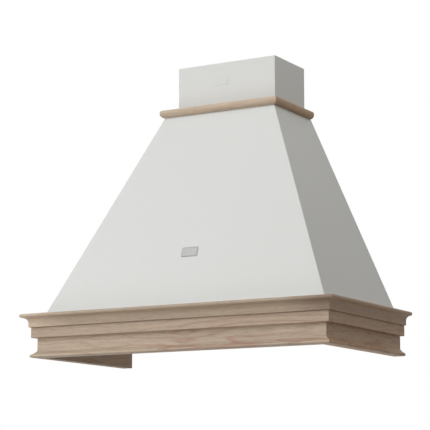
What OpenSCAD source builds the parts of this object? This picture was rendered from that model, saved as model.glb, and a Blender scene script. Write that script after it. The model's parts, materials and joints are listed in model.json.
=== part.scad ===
// Wall-mounted range hood: a painted steel canopy and telescopic chimney over a moulded wood cornice.
// Millimetres. X runs along the wall, -Y points into the room, Z is up.
// The origin is the centre of the four wall holes, on the wall plane.

/* [Overall] */
// Width over the crown moulding
hood_w = 900; // [860:10:1100]
// Depth from the wall to the crown's nose
hood_d = 460; // [450:5:560]
// Height of the centre of the wall holes above the cornice underside
mount_h = 330; // [320:5:345]

/* [Wood cornice] */
// Thickness of the fascia boards
board_t = 18; // [12:1:24]
// Height of the plain board under the band
face_h = 51; // [46:1:62]
// Height of the flat band
band_h = 27; // [20:1:34]
// How far the band stands out from the board
band_out = 12.2; // [6:0.2:15]
// Height of the crown moulding
crown_h = 38; // [36:1:50]
// How far the crown's nose stands out from the board
crown_out = 35; // [33:1:42]
// Depth of the step under the crown's cove
step_out = 17.4; // [15.8:0.2:17.8]
// Height of the step under the crown's cove
step_h = 11.2; // [6:0.1:12]
// Radius of the crown's cove
cove_r = 13; // [10:0.5:13.5]
// Radius of the crown's nose
nose_r = 4.9; // [3:0.1:6]
// How far the foot moulding stands out from the board
foot_out = 14.4; // [12:0.2:17]
// Height of the foot moulding
foot_h = 18; // [15:0.5:24]
// Radius of the foot's rounded toe
toe_r = 4; // [3:0.2:5]

/* [Canopy] */
// Set-back of the canopy's sides from the side boards' faces
canopy_in = 13; // [12:0.5:20]
// Set-back of the canopy's front from the front board's face
canopy_front_in = 18.5; // [14:0.5:22]
// Height of the sloping canopy
canopy_h = 530; // [510:2:580]
// Canopy sheet thickness, measured level
canopy_t = 1.1; // [0.8:0.1:2]
// Width of the lip that lies on the boards
lip_w = 12; // [6:1:12]
// Ledge beside the chimney on top of the canopy
shoulder_side = 18.5; // [14:0.5:30]
// Ledge in front of the chimney on top of the canopy
shoulder_front = 40; // [25:1:50]
// Back panel and base frame sheet thickness
frame_t = 1.2; // [0.8:0.1:1.6]

/* [Wood collar] */
// Height of the collar moulding
collar_h = 20; // [17:0.5:28]
// Overhang of the collar beyond the canopy top
collar_over = 11; // [8:0.5:16]
// Height of the collar's nose above its underside
collar_nose_h = 11.5; // [9:0.1:14]
// Gap between the collar and the chimney
collar_gap = 0.3; // [0.2:0.1:1]

/* [Chimney] */
// Width of the lower chimney
chimney_w = 294; // [280:2:330]
// Depth of the lower chimney
chimney_d = 168; // [166:1:190]
// Height of the lower chimney above the canopy
chimney_h = 142; // [120:2:400]
// Chimney sheet thickness
chimney_t = 1; // [0.8:0.1:1.2]
// Gap between the two chimney sections
slide_gap = 1.1; // [0.8:0.1:1.5]
// Width of the return flanges at the back
return_w = 15; // [10:1:22]
// How far the nested section reaches below the canopy top
nest_depth = 191; // [120:1:195]
// Distance from the chimney top down to the top bracket
bracket_drop = 3; // [2:0.5:10]
// Height of the top bracket
bracket_h = 28; // [24:1:40]
// Distance between the two holes of the top bracket
bracket_pitch = 120; // [80:5:160]
// Diameter of the top bracket's holes
bracket_hole_d = 6.5; // [5:0.5:8]
// Diameter of the top bracket's bosses
bracket_boss_d = 20; // [16:1:24]

/* [Wall fixing] */
// Distance between the wall holes across
wall_pitch_x = 260; // [250:5:300]
// Distance between the wall holes upwards
wall_pitch_z = 300; // [290:5:315]
// Diameter of the wall holes
wall_hole_d = 8.5; // [6:0.5:10]

/* [Suction panel] */
// Height of the panel's top face above the cornice underside
panel_rise = 60; // [50:1:70]
// Panel thickness
panel_t = 1.2; // [1:0.1:1.6]
// Gap between the panel and the boards
panel_gap = 1.5; // [1:0.5:3]
// Width of the base frame's inward flange
flange_w = 12; // [10:1:14]
// Diameter of the small screws
screw_d = 4; // [3:0.5:5]

/* [Grease filters] */
// Filter width
filter_w = 268; // [240:2:272]
// Filter length, front to back
filter_l = 252; // [220:2:284]
// Filter height
filter_h = 8; // [7.6:0.2:9]
// Width of the strip between the two filter openings
mullion = 30; // [26:1:34]
// Depth of the panel's front strip, which holds the lamps and controls
strip_w = 75.5; // [72:0.5:84]
// Running gap round a filter
filter_gap = 2; // [1.6:0.1:2.4]
// Width of the filter's rim
filter_rim = 12; // [10:1:16]
// Width of the filter's front rim, which holds the latch
filter_front_rim = 28; // [26:1:36]
// Mesh openings across
mesh_nx = 12; // [6:1:16]
// Mesh openings front to back
mesh_ny = 11; // [6:1:14]
// Width of a mesh bar
mesh_bar = 2; // [1.4:0.2:4]
// Hinge pin diameter
hinge_d = 4; // [3:0.5:4.5]
// Radial clearance of the hinge pins
hinge_gap = 0.08; // [0.03:0.01:0.1]
// Latch travel
latch_travel = 6; // [4:0.5:6]

/* [Lamps] */
// Distance of each lamp from the middle
lamp_x = 290; // [260:5:330]
// Lens diameter
lens_d = 46; // [36:1:47]
// Lamp bezel diameter
bezel_d = 60; // [57:1:60]
// Height of the lamp body above the panel
lamp_h = 26; // [16:1:40]

/* [Controls] */
// Control plate width
control_w = 150; // [140:2:180]
// Control plate depth
control_d = 30; // [24:1:36]
// Height of the switch housing
housing_h = 26; // [20:1:34]
// Distance between the buttons
button_pitch = 26; // [20:1:26]
// Button diameter
button_d = 12; // [9:0.5:14]
// Button travel
button_travel = 2; // [1:0.5:3]

/* [Blower] */
// Height of the impeller axis above the cornice underside
blower_h = 262; // [258:1:270]
// Distance between the wall and the inside of the blower casing
blower_rear = 8; // [7:0.5:10]
// Casing width
scroll_w = 200; // [180:2:210]
// Casing wall thickness
scroll_t = 2; // [1.5:0.1:2.4]
// Smallest radius of the spiral casing
scroll_r = 95; // [94:1:98]
// Growth of the spiral's radius over one turn
scroll_grow = 35; // [32:1:40]
// Height of the outlet above the impeller axis
outlet_h = 128; // [126:1:136]
// Inlet diameter
inlet_d = 126; // [116:2:132]
// Impeller diameter
impeller_d = 176; // [160:2:180]
// Impeller width
impeller_w = 170; // [150:2:172]
// Number of impeller blades
blade_n = 32; // [20:1:40]
// Radial length of an impeller blade
blade_l = 15; // [10:1:18]
// Motor diameter
motor_d = 96; // [80:2:106]
// Motor shaft diameter
shaft_d = 8; // [6:0.5:10]
// Radial clearance of the motor shaft
shaft_gap = 0.05; // [0.02:0.01:0.1]

/* [Duct outlet] */
// Outside diameter of the duct spigot
spigot_d = 150; // [140:1:150]
// Spigot wall thickness
spigot_t = 2; // [1.5:0.1:3]
// Height of the spigot
spigot_h = 48; // [40:1:52]
// Flap pin diameter
flap_pin_d = 3; // [2:0.5:3.5]
// Radial clearance of the flaps on their pin
flap_gap = 0.1; // [0.05:0.01:0.1]

/* [Supply box] */
// Distance of the box from the middle, to its centre
box_x = 205; // [190:5:220]
// Box width
box_w = 70; // [60:2:80]
// Box depth
box_d = 40; // [36:1:60]
// Box height
box_h = 70; // [60:2:80]
// Height of the box above the cornice underside
box_z = 200; // [196:2:230]
// Bore of the cable gland
gland_bore_d = 9; // [7:0.5:11]

/* [Plates] */
// Width of the plate on the canopy
badge_w = 46; // [30:1:60]
// Height of the plate on the canopy
badge_h = 26; // [16:1:34]
// Height of that plate's centre above the canopy base
badge_z = 139; // [80:1:300]
// Width of the plate on the chimney
tag_w = 39; // [24:1:50]
// Height of the plate on the chimney
tag_h = 20; // [12:1:28]
// Sideways place of the plate on the chimney
tag_x = -14; // [-40:1:40]
// Height of that plate's centre above the canopy top
tag_z = 92; // [50:1:106]

/* [Hidden] */
$fn = 48;
eps = 0.01;
fit_gap = 0.3;        // gap beside a piece that slides
rest_gap = 0.3;       // gap under a piece that rests on a stop

// Levels
base_z = -mount_h;
band_z = base_z + face_h;
crown_z = band_z + band_h;
canopy_z = crown_z + crown_h;
collar_z = canopy_z + canopy_h;
top_z = collar_z + chimney_h;
frame_z = base_z + panel_rise;
panel_z = frame_z - panel_t;

// Board and canopy outlines: half widths and depths
face_hw = hood_w / 2 - crown_out;
face_d = hood_d - crown_out;
inner_hw = face_hw - board_t;
inner_d = face_d - board_t;
canopy_hw = face_hw - canopy_in;
canopy_d = face_d - canopy_front_in;
ledge_hw = chimney_w / 2 + shoulder_side;
ledge_d = chimney_d + shoulder_front;
slope_a = atan((canopy_d - ledge_d) / canopy_h);

// Crown and collar outlines
nose_u = crown_out - nose_r;
nose_v = step_h + cove_r + nose_r;
crown_curve = 1.6;
collar_in_hw = chimney_w / 2 + collar_gap;
collar_in_d = chimney_d + collar_gap;
collar_hw = ledge_hw + collar_over;
collar_d = ledge_d + collar_over;
collar_low = collar_over - 0.5;
collar_up = 4.8;

// Upper chimney
upper_hw = chimney_w / 2 - chimney_t - slide_gap;
upper_d = chimney_d - chimney_t - slide_gap;
upper_back = chimney_t + slide_gap;
upper_z = collar_z - nest_depth;
upper_top = top_z - 1;
upper_in = upper_hw - chimney_t;
bracket_z = upper_top - bracket_drop - bracket_h;
bracket_y = upper_back + chimney_t;

// Filters
open_hw = filter_w / 2 + filter_gap;
filter_x = mullion / 2 + open_hw;
hinge_inset = 4;
hinge_rise = hinge_d / 2 + 0.8;
rear_gap = filter_gap + 0.5;
open_y = strip_w - inner_d;
filter_y = open_y + filter_gap;
open_back_y = filter_y + filter_l + rear_gap;
filter_z = panel_z;
hinge_y = filter_y + filter_l - hinge_inset;
hinge_z = frame_z + hinge_rise;
ear_t = 3;
ear_gap = 0.5;
ear_r = 5;
mesh_lip = 4;
mesh_t = 4;
filter_floor = 1.2;
latch_hw = 16;
latch_front = 4;
latch_l = filter_front_rim - 8 - latch_travel - 2 * fit_gap;
latch_pull_hw = 12;
latch_floor = 1.8;
latch_roof = 1.5;
tongue_hw = 10;
tongue_out = filter_gap - 0.5;
tongue_low = 3.4;

// Front strip of the panel
bezel_r = bezel_d / 2;
strip_margin = 4.5;
strip_y = open_y - strip_margin - bezel_r;
lens_lip = 1.5;
neck_wall = 1.4;
bezel_t = 2;
lens_t = 2;
lens_r = lens_d / 2;
neck_in = lens_r + lens_lip;
neck_r = neck_in + neck_wall;
neck_h = 4;
plate_t = 1.5;
housing_t = 1.5;
button_gap = 0.4;
button_flange = 1.6;
button_proud = 2.2;
button_names = 5;

// Blower
axis_y = -(blower_rear + scroll_r + scroll_grow);
axis_z = base_z + blower_h;
outlet_z = axis_z + outlet_h;
tongue_a = 60;
tongue_solid = 15;
spiral_step = 6;
spigot_r = spigot_d / 2;
spigot_y = -(blower_rear + spigot_r + 0.5);
outlet_y = spigot_y - spigot_r - 0.5;
scroll_hw = scroll_w / 2;
motor_x0 = 14;
motor_x1 = scroll_hw - 6;
hub_r = 14;
hub_hw = 12;
disc_t = 3;
end_ring = 8;
mount_bar = 2.5;
guard_t = 3;

// Duct spigot and flaps
spigot_z = outlet_z + scroll_t;
spigot_flange = 2;
pin_z = spigot_z + 10;
flap_t = 1.2;
flap_r = spigot_r - spigot_t - 1;
knuckle_r = flap_pin_d / 2 + 1.3;
knuckle_l = 30;
seat_w = 3;
seat_t = 2;

// Fasteners
head_r = screw_d;
head_t = 1.5;
screw_gap = 0.2;
screw_z = canopy_z - 30;
pilot_l = board_t - 5;

// Colours
wood = [0.74, 0.63, 0.54];
paint = [0.86, 0.86, 0.84];
steel = [0.72, 0.73, 0.74];
zinc = [0.62, 0.64, 0.66];
alloy = [0.8, 0.81, 0.82];
dark = [0.2, 0.2, 0.22];
casing = [0.42, 0.44, 0.46];
lens = [0.93, 0.95, 0.96];

// Basic shapes

// A box between two corners
module span(low, high) {
    translate(low) cube(high - low);
}

// Cylinders along each axis, from one place to another
module rod_x(r, x0, x1, y, z) {
    translate([x0, y, z]) rotate([0, 90, 0]) cylinder(r = r, h = x1 - x0);
}
module rod_y(r, y0, y1, x, z) {
    translate([x, y1, z]) rotate([90, 0, 0]) cylinder(r = r, h = y1 - y0);
}
module rod_z(r, z0, z1, x, y) {
    translate([x, y, z0]) cylinder(r = r, h = z1 - z0);
}

// A flat plate with rounded corners, centred, standing on the XY plane
module round_plate(w, d, h, r) {
    linear_extrude(h) {
        square([w - 2 * r, d], center = true);
        square([w, d - 2 * r], center = true);
        for (x = [-1, 1], y = [-1, 1]) translate([x * (w / 2 - r), y * (d / 2 - r)]) circle(r);
    }
}

// A YZ outline swept along X from x0 to x1
module sweep_x(x0, x1) {
    translate([x0, 0, 0]) rotate([90, 0, 90]) linear_extrude(x1 - x0) children();
}

module both_sides() {
    children();
    mirror([1, 0, 0]) children();
}

// Wood mouldings: outlines are drawn outwards (u) and upwards (v) from the board face

function arc(cu, cv, ru, rv, a0, a1, n = 8) =
    [for (i = [0:n]) let (a = a0 + (a1 - a0) * i / n) [cu + ru * cos(a), cv + rv * sin(a)]];

// A smooth bend from a to b, drawn towards c; its first point is left out
function bend(a, c, b, n = 8) =
    [for (i = [1:n]) let (t = i / n) (1 - t) * (1 - t) * a + 2 * t * (1 - t) * c + t * t * b];

module fascia_outline() {
    toe_u = foot_out - toe_r;
    toe = arc(toe_u, toe_r, toe_r, toe_r, -90, 60);
    polygon(concat(
        [[-board_t, 0], [toe_u, 0]],
        toe,
        bend(toe[len(toe) - 1], [0.31 * foot_out, 0.655 * foot_h], [0, foot_h]),
        [[0, canopy_z - base_z], [-board_t, canopy_z - base_z]]));
}

module band_outline() {
    square([band_out, band_h]);
}

module crown_outline() {
    top_v = nose_v + nose_r;
    rise = crown_h - top_v;
    polygon(concat(
        [[0, 0], [step_out, 0]],
        arc(step_out + cove_r, step_h, cove_r, cove_r, 180, 90 + 3),
        arc(nose_u, nose_v, nose_r, nose_r, -90, 90),
        [for (i = [1:5]) [nose_u * (1 - i / 5), top_v + rise * pow(i / 5, crown_curve)]]));
}

module collar_outline(width) {
    polygon(concat(
        [[0, 0]],
        arc(width - collar_low, collar_nose_h, collar_low, collar_nose_h, -90, 0),
        arc(width - collar_up, collar_nose_h, collar_up, collar_h - collar_nose_h, 0, 90),
        [[0, collar_h]]));
}

// A moulding along the right side, running from the wall to past the corner
module side_run(hw, z, length) {
    translate([hw, 0, z]) rotate([90, 0, 0]) linear_extrude(length) children();
}
// A moulding along the front, running past both corners
module front_run(depth, z, length) {
    translate([length / 2, -depth, z]) rotate([0, 0, -90]) rotate([90, 0, 0]) linear_extrude(length) children();
}

// Mitre prisms for the cornice: the plan areas that belong to the front and to the right side
miter_run = board_t + crown_out + 5;
module miter_front() {
    translate([0, 0, base_z - 1]) linear_extrude(canopy_z - base_z + 2)
        polygon([[-inner_hw, -inner_d], [-inner_hw - miter_run, -inner_d - miter_run],
                 [inner_hw + miter_run, -inner_d - miter_run], [inner_hw, -inner_d]]);
}
module miter_side() {
    translate([0, 0, base_z - 1]) linear_extrude(canopy_z - base_z + 2)
        polygon([[inner_hw, 0], [inner_hw, -inner_d], [inner_hw + miter_run, -inner_d - miter_run],
                 [inner_hw + miter_run, 0]]);
}
module cornice_front(z) {
    color(wood) intersection() {
        front_run(face_d, z, hood_w + 20) children();
        miter_front();
    }
}
module cornice_side(z) {
    color(wood) intersection() {
        side_run(face_hw, z, hood_d + 10) children();
        miter_side();
    }
}

// Screw places along the cornice: inside the boards, above the suction panel
front_screws = [-0.72 * inner_hw, 0, 0.72 * inner_hw];
side_screws = [-0.24 * inner_d, -0.78 * inner_d];

module fascia_front() {
    color(wood) difference() {
        cornice_front(base_z) fascia_outline();
        for (x = front_screws) rod_y(screw_d / 2, -inner_d - pilot_l, -inner_d + 1, x, screw_z);
    }
}
module fascia_side() {
    color(wood) difference() {
        cornice_side(base_z) fascia_outline();
        for (y = side_screws) rod_x(screw_d / 2, inner_hw - 1, inner_hw + pilot_l, y, screw_z);
    }
}
module fascia_right() { fascia_side(); }
module fascia_left() { mirror([1, 0, 0]) fascia_side(); }
module band_front() { cornice_front(band_z) band_outline(); }
module band_right() { cornice_side(band_z) band_outline(); }
module band_left() { mirror([1, 0, 0]) band_right(); }
module crown_front() { cornice_front(crown_z) crown_outline(); }
module crown_right() { cornice_side(crown_z) crown_outline(); }
module crown_left() { mirror([1, 0, 0]) crown_right(); }

// Collar mouldings: mitred from the outer corner to the chimney's side
module collar_plan(points) {
    translate([0, 0, collar_z - 1]) linear_extrude(collar_h + 2) polygon(points);
}
collar_side_w = collar_hw - collar_in_hw;
collar_corner = [[collar_hw, -collar_d], [collar_in_hw, collar_side_w - collar_d]];
module collar_front() {
    color(wood) intersection() {
        front_run(collar_in_d, collar_z, 2 * collar_hw) collar_outline(collar_d - collar_in_d);
        collar_plan(concat(
            [collar_corner[0], collar_corner[1], [collar_in_hw, -collar_in_d], [-collar_in_hw, -collar_in_d]],
            [for (p = [collar_corner[1], collar_corner[0]]) [-p[0], p[1]]]));
    }
}
module collar_right() {
    color(wood) intersection() {
        side_run(collar_in_hw, collar_z, collar_d) collar_outline(collar_side_w);
        collar_plan([[collar_in_hw, 0], collar_corner[1], collar_corner[0], [collar_hw, 0]]);
    }
}
module collar_left() { mirror([1, 0, 0]) collar_right(); }

// Canopy

// Straight-sided block that tapers from one rectangle at z0 to another at z1, with a flat back
module taper(hw0, d0, z0, hw1, d1, z1, back = 0) {
    polyhedron(
        points = [[-hw0, -d0, z0], [hw0, -d0, z0], [hw0, back, z0], [-hw0, back, z0],
                  [-hw1, -d1, z1], [hw1, -d1, z1], [hw1, back, z1], [-hw1, back, z1]],
        faces = [[0, 1, 2, 3], [7, 6, 5, 4], [4, 5, 1, 0], [5, 6, 2, 1], [6, 7, 3, 2], [7, 4, 0, 3]]);
}

plate_z = collar_z - canopy_t;
gap_plate = 0.5;
module canopy_shell() {
    color(paint) difference() {
        union() {
            taper(canopy_hw, canopy_d, canopy_z, ledge_hw, ledge_d, collar_z);
            span([-canopy_hw - lip_w, -canopy_d - lip_w, canopy_z], [canopy_hw + lip_w, 0, canopy_z + canopy_t]);
        }
        taper(canopy_hw - canopy_t, canopy_d - canopy_t, canopy_z - eps,
              ledge_hw - canopy_t, ledge_d - canopy_t, plate_z, 1);
        span([-upper_hw - gap_plate, -upper_d - gap_plate, plate_z - 1], [upper_hw + gap_plate, 1, collar_z + 1]);
    }
}

// Half width of the space inside the canopy at height z
function inside_hw(z) =
    canopy_hw - canopy_t - (canopy_hw - ledge_hw) * (z - canopy_z) / (plate_z - canopy_z);

module wall_holes() {
    for (x = [-1, 1], z = [-1, 1])
        rod_y(wall_hole_d / 2, -frame_t - 1, 1, x * wall_pitch_x / 2, z * wall_pitch_z / 2);
}
module back_panel() {
    color(zinc) difference() {
        rotate([90, 0, 0]) linear_extrude(frame_t)
            polygon([[-inside_hw(canopy_z), canopy_z], [inside_hw(canopy_z), canopy_z],
                     [inside_hw(plate_z), plate_z], [-inside_hw(plate_z), plate_z]]);
        wall_holes();
    }
}

// Screw places of the suction panel, in the base frame's flange
panel_screw_x = inner_hw - flange_w / 2;
panel_screw_y = [-flange_w / 2 - frame_t, -inner_d + flange_w / 2];
module panel_screw_places() {
    for (x = [-0.94, -0.3, 0.3, 0.94], y = panel_screw_y) translate([x * panel_screw_x, y, 0]) children();
}

module base_frame() {
    color(zinc) difference() {
        span([-inner_hw, -inner_d, frame_z], [inner_hw, 0, canopy_z]);
        span([-inner_hw + frame_t, -inner_d + frame_t, frame_z + frame_t],
             [inner_hw - frame_t, -frame_t, canopy_z + 1]);
        span([-inner_hw + flange_w, -inner_d + flange_w, frame_z - 1],
             [inner_hw - flange_w, -frame_t - flange_w, frame_z + frame_t + 1]);
        panel_screw_places() rod_z(screw_d / 2 + screw_gap, frame_z - 1, frame_z + frame_t + 1, 0, 0);
        for (x = front_screws) rod_y(screw_d / 2 + screw_gap, -inner_d - 1, -inner_d + frame_t + 1, x, screw_z);
        both_sides() for (y = side_screws)
            rod_x(screw_d / 2 + screw_gap, inner_hw - frame_t - 1, inner_hw + 1, y, screw_z);
    }
}

// Chimney

// A U-shaped sheet with inward returns at its back edges
module chimney_sheet(hw, depth, back, z0, z1) {
    difference() {
        span([-hw, -depth, z0], [hw, -back, z1]);
        span([-hw + chimney_t, -depth + chimney_t, z0 - 1], [hw - chimney_t, -back - chimney_t, z1 + 1]);
        span([-hw + return_w, -back - chimney_t - 1, z0 - 1], [hw - return_w, -back + 1, z1 + 1]);
    }
}
module lower_chimney() {
    color(paint) chimney_sheet(chimney_w / 2, chimney_d, 0, collar_z, top_z);
}
module upper_chimney() {
    color(paint) chimney_sheet(upper_hw, upper_d, upper_back, upper_z, upper_top);
}
bracket_t = 1.2;
bracket_ear = 26;
module chimney_bracket() {
    color(zinc) difference() {
        union() {
            span([-upper_in, -bracket_y - bracket_t, bracket_z], [upper_in, -bracket_y, bracket_z + bracket_h]);
            both_sides() span([upper_in - bracket_t, -bracket_y - bracket_ear, bracket_z],
                              [upper_in, -bracket_y, bracket_z + bracket_h]);
            both_sides() rod_y(bracket_boss_d / 2, -bracket_y - eps, 0, bracket_pitch / 2, bracket_z + bracket_h / 2);
        }
        both_sides() rod_y(bracket_hole_d / 2, -bracket_y - bracket_t - 1, 1,
                           bracket_pitch / 2, bracket_z + bracket_h / 2);
    }
}

// Suction panel and what it carries

module control_places() {
    for (i = [0:button_names - 1]) translate([(i - 2) * button_pitch, strip_y, 0]) children();
}
module button_place(i) {
    translate([(i - 2) * button_pitch, strip_y, 0]) children();
}
module suction_panel() {
    color(steel) difference() {
        span([-inner_hw + panel_gap, -inner_d + panel_gap, panel_z], [inner_hw - panel_gap, -panel_gap, frame_z]);
        both_sides() span([filter_x - open_hw, open_y, panel_z - 1], [filter_x + open_hw, open_back_y, frame_z + 1]);
        both_sides() rod_z(neck_r + fit_gap, panel_z - 1, frame_z + 1, lamp_x, strip_y);
        control_places() rod_z(button_d / 2 + button_gap, panel_z - 1, frame_z + 1, 0, 0);
        panel_screw_places() rod_z(screw_d / 2 + screw_gap, panel_z - 1, frame_z + 1, 0, 0);
    }
}

// The right filter's frame: a rim with a lip under the mesh, a latch pocket and two hinge pins
module filter_frame() {
    hw = filter_w / 2;
    pocket_y = filter_y + latch_front;
    color(alloy) translate([filter_x, 0, 0]) {
        difference() {
            span([-hw, filter_y, filter_z], [hw, filter_y + filter_l, filter_z + filter_h]);
            span([-hw + filter_rim, filter_y + filter_front_rim, filter_z + filter_floor],
                 [hw - filter_rim, filter_y + filter_l - filter_rim, filter_z + filter_h + 1]);
            span([-hw + filter_rim + mesh_lip, filter_y + filter_front_rim + mesh_lip, filter_z - 1],
                 [hw - filter_rim - mesh_lip, filter_y + filter_l - filter_rim - mesh_lip, filter_z + filter_h]);
            span([-latch_hw - fit_gap, pocket_y, filter_z + latch_floor],
                 [latch_hw + fit_gap, pocket_y + latch_l + latch_travel + 2 * fit_gap, filter_z + filter_h - latch_roof]);
            span([-latch_pull_hw - fit_gap, pocket_y + 3 - fit_gap, filter_z - 1],
                 [latch_pull_hw + fit_gap, pocket_y + latch_l + latch_travel + fit_gap - 2, filter_z + latch_floor + eps]);
            span([-tongue_hw - fit_gap, filter_y - 1, filter_z + tongue_low - fit_gap],
                 [tongue_hw + fit_gap, pocket_y + eps, filter_z + filter_h - latch_roof]);
        }
        both_sides() rod_x(hinge_d / 2, hw - 1, hw + filter_gap + ear_gap + ear_t + 0.5, hinge_y, hinge_z);
    }
}
module filter_frame_right() { filter_frame(); }
module filter_frame_left() { mirror([1, 0, 0]) filter_frame(); }

module filter_mesh() {
    w = filter_w - 2 * filter_rim;
    l = filter_l - filter_rim - filter_front_rim;
    px = (w - 2 * mesh_lip) / mesh_nx;
    py = (l - 2 * mesh_lip) / mesh_ny;
    color(alloy) translate([filter_x - w / 2, filter_y + filter_front_rim, filter_z + filter_floor])
        linear_extrude(mesh_t) difference() {
            square([w, l]);
            for (i = [0:mesh_nx - 1], j = [0:mesh_ny - 1])
                translate([mesh_lip + i * px + mesh_bar / 2, mesh_lip + j * py + mesh_bar / 2])
                    square([px - mesh_bar, py - mesh_bar]);
        }
}
module filter_mesh_right() { filter_mesh(); }
module filter_mesh_left() { mirror([1, 0, 0]) filter_mesh(); }

module filter_latch() {
    y0 = filter_y + latch_front + fit_gap;
    latch_top = filter_z + filter_h - latch_roof - fit_gap;
    color(dark) translate([filter_x, 0, 0]) {
        span([-latch_hw, y0, filter_z + latch_floor + fit_gap], [latch_hw, y0 + latch_l, latch_top]);
        span([-latch_pull_hw, y0 + 3, filter_z], [latch_pull_hw, y0 + latch_l - 3, filter_z + latch_floor + 1]);
        span([-tongue_hw, filter_y - tongue_out, filter_z + tongue_low], [tongue_hw, y0 + 1, latch_top]);
    }
}
module filter_latch_right() { filter_latch(); }
module filter_latch_left() { mirror([1, 0, 0]) filter_latch(); }

module filter_hinge_ears() {
    color(steel) both_sides() translate([filter_x, 0, 0]) both_sides()
        difference() {
            union() {
                rod_x(ear_r, open_hw + ear_gap, open_hw + ear_gap + ear_t, hinge_y, hinge_z);
                span([open_hw + ear_gap, hinge_y - ear_r, frame_z],
                     [open_hw + ear_gap + ear_t, hinge_y + ear_r, hinge_z]);
            }
            rod_x(hinge_d / 2 + hinge_gap, open_hw, open_hw + ear_gap + ear_t + 1, hinge_y, hinge_z);
            span([open_hw, hinge_y - ear_r - 1, hinge_z - ear_r - 1],
                 [open_hw + ear_gap + ear_t + 1, hinge_y + ear_r + 1, frame_z]);
        }
}

module lamp_bezel() {
    color(steel) translate([lamp_x, strip_y, panel_z]) difference() {
        union() {
            rod_z(bezel_r, -bezel_t, 0, 0, 0);
            rod_z(neck_r, -eps, panel_t + neck_h, 0, 0);
        }
        rod_z(lens_r, -bezel_t - 1, panel_t + neck_h + 1, 0, 0);
        rod_z(neck_in, 0, panel_t + neck_h + 1, 0, 0);
    }
}
module lamp_bezel_right() { lamp_bezel(); }
module lamp_bezel_left() { mirror([1, 0, 0]) lamp_bezel(); }

module lamp_lens() {
    color(lens) translate([lamp_x, strip_y, panel_z]) {
        rod_z(neck_in, 0, lens_t, 0, 0);
        rod_z(lens_r - fit_gap, -bezel_t + 0.5, eps, 0, 0);
    }
}
module lamp_lens_right() { lamp_lens(); }
module lamp_lens_left() { mirror([1, 0, 0]) lamp_lens(); }

// The lamp's housing stands on the bezel's neck and has cooling ribs round it
module lamp_body() {
    z0 = frame_z + neck_h;
    color(dark) translate([lamp_x, strip_y, 0]) {
        rod_z(neck_r, z0, z0 + 3, 0, 0);
        rod_z(neck_r - 5, z0, z0 + lamp_h, 0, 0);
        for (i = [1:4]) rod_z(neck_r, z0 + i * lamp_h / 5, z0 + i * lamp_h / 5 + 2, 0, 0);
    }
}
module lamp_body_right() { lamp_body(); }
module lamp_body_left() { mirror([1, 0, 0]) lamp_body(); }

module control_plate() {
    color(dark) difference() {
        translate([0, strip_y, panel_z - plate_t]) round_plate(control_w, control_d, plate_t, 6);
        control_places() rod_z(button_d / 2 + button_gap, panel_z - plate_t - 1, panel_z + 1, 0, 0);
    }
}
module control_housing() {
    hw = control_w / 2 - 2;
    hd = control_d / 2 - 1;
    color(casing) translate([0, strip_y, frame_z]) difference() {
        span([-hw, -hd, 0], [hw, hd, housing_h]);
        span([-hw + housing_t, -hd + housing_t, -1], [hw - housing_t, hd - housing_t, housing_h - housing_t]);
    }
}

// A button: a cap below the plate, a flange above the panel and a stem
module button(i) {
    flange_z = frame_z + rest_gap;
    color(alloy) button_place(i) {
        rod_z(button_d / 2, panel_z - plate_t - button_proud, flange_z + button_flange, 0, 0);
        rod_z(button_d / 2 + 1.6, flange_z, flange_z + button_flange, 0, 0);
        rod_z(2.5, flange_z, flange_z + housing_h - housing_t - button_travel - 3, 0, 0);
    }
}
module button_light() { button(0); }
module button_stop() { button(1); }
module button_speed_1() { button(2); }
module button_speed_2() { button(3); }
module button_speed_3() { button(4); }

// Blower

// Point of the spiral casing at angle a, measured from the wall side upwards, with extra radius e
function spiral(a, e = 0) =
    let (r = scroll_r + scroll_grow * (a - tongue_a) / (360 - tongue_a) + e)
    [axis_y + r * cos(a), axis_z + r * sin(a)];

module scroll_inside() {
    polygon(concat(
        [for (a = [tongue_a:spiral_step:360]) spiral(a)],
        [[-blower_rear, outlet_z], [outlet_y, outlet_z]]));
}
module scroll_outside() {
    polygon(concat(
        [for (a = [tongue_a + tongue_solid:spiral_step:360]) spiral(a, scroll_t)],
        [spiral(360, scroll_t), [-blower_rear + scroll_t, outlet_z + scroll_t],
         [outlet_y - scroll_t, outlet_z + scroll_t], [outlet_y - scroll_t, outlet_z - scroll_t]]));
}
module scroll_half() {
    color(casing) difference() {
        sweep_x(0, scroll_hw) scroll_outside();
        sweep_x(-1, scroll_hw - scroll_t) scroll_inside();
        rod_x(inlet_d / 2, scroll_hw - scroll_t - 1, scroll_hw + 1, axis_y, axis_z);
        rod_z(spigot_r - spigot_t, outlet_z - 1, outlet_z + scroll_t + 1, 0, spigot_y);
    }
}
module scroll_right() { scroll_half(); }
module scroll_left() { mirror([1, 0, 0]) scroll_half(); }

blade_tilt = 35;
blade_t = 1.2;
ring_t = 3;
rim_gap = 1.5;
module impeller() {
    r = impeller_d / 2;
    color(dark) translate([0, axis_y, axis_z]) {
        difference() {
            union() {
                rod_x(r, -disc_t / 2, disc_t / 2, 0, 0);
                rod_x(hub_r, -hub_hw, hub_hw, 0, 0);
            }
            rod_x(shaft_d / 2, -hub_hw - 1, hub_hw + 1, 0, 0);
        }
        both_sides() difference() {
            rod_x(r, impeller_w / 2 - ring_t, impeller_w / 2, 0, 0);
            rod_x(r - end_ring, impeller_w / 2 - ring_t - 1, impeller_w / 2 + 1, 0, 0);
        }
    }
}

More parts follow.
